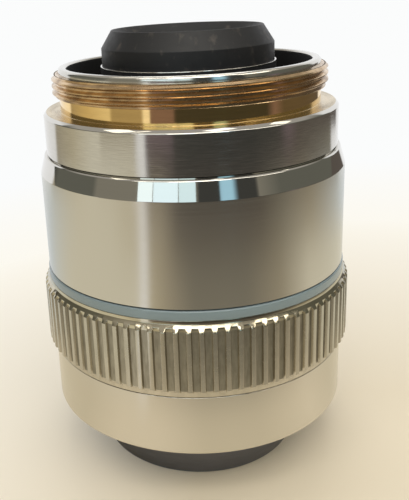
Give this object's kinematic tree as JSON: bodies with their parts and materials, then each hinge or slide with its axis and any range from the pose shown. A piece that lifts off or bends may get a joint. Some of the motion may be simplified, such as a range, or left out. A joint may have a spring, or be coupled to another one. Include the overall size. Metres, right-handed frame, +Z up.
{
  "type": "microscope objective",
  "caption": "Turned metal microscope objective with a threaded mount, a knurled correction ring, a coloured band and a light channel round its lens tube.",
  "frame": {"origin": "centre of the foot, the flat end of the nose that it stands on", "axes": "+Z up along the optical axis, from the nose to the mounting thread; +X through one drive pin"},
  "size_m": [0.0372, 0.0372, 0.0512],
  "materials": {
    "nickel_satin": "fine turned, satin nickel",
    "nickel_bright": "bright nickel",
    "mount_brass": "turned and lacquered, plated outside",
    "inner_brass": "turned",
    "band_enamel": "grey-blue enamel",
    "black_anodised": "matt black anodised",
    "optical_glass": "polished, coated",
    "pin_steel": "ground steel",
    "shim_bronze": "rolled"
  },
  "bodies": {
    "barrel": {"mount_barrel": "mount_brass", "outer_sleeve": "nickel_satin", "lower_washer": "shim_bronze", "upper_washer": "shim_bronze", "lower_barrel": "nickel_satin", "nose_ring": "nickel_satin", "front_housing": "nickel_bright", "ring_condenser": "optical_glass", "condenser_ring": "inner_brass", "lens_tube": "black_anodised", "tube_nut": "inner_brass", "spider": "black_anodised", "spider_ring": "inner_brass", "front_cell": "inner_brass", "front_lens": "optical_glass", "meniscus_lens": "optical_glass", "doublet_cell": "inner_brass", "fixed_flint": "optical_glass", "fixed_crown": "optical_glass", "triplet_cell": "inner_brass", "triplet_lower_flint": "optical_glass", "triplet_crown": "optical_glass", "triplet_upper_flint": "optical_glass", "spacer_tube": "black_anodised", "rear_cell": "inner_brass", "rear_flint": "optical_glass", "rear_crown": "optical_glass", "stop_ring": "black_anodised", "rear_baffle": "black_anodised"},
    "ring": {"correction_ring": "nickel_satin", "colour_band": "band_enamel"},
    "carriage": {"lens_carriage": "inner_brass", "moving_flint": "optical_glass", "moving_crown": "optical_glass", "drive_pins": "pin_steel"}
  },
  "joints": [
    {"name": "correction_turn", "type": "hinge", "parent": "barrel", "child": "ring", "pos_m": [0, 0, 0.01897], "axis": [0, 0, 1], "range_deg": [-45, 45]},
    {"name": "carriage_slide", "type": "slide", "parent": "barrel", "child": "carriage", "axis": [0, 0, 1], "range_m": [-0.00051, 0.00051]}
  ],
  "couplings": [
    {"joint": "carriage_slide", "follows": "correction_turn", "m_per_rad": -0.00063662}
  ]
}
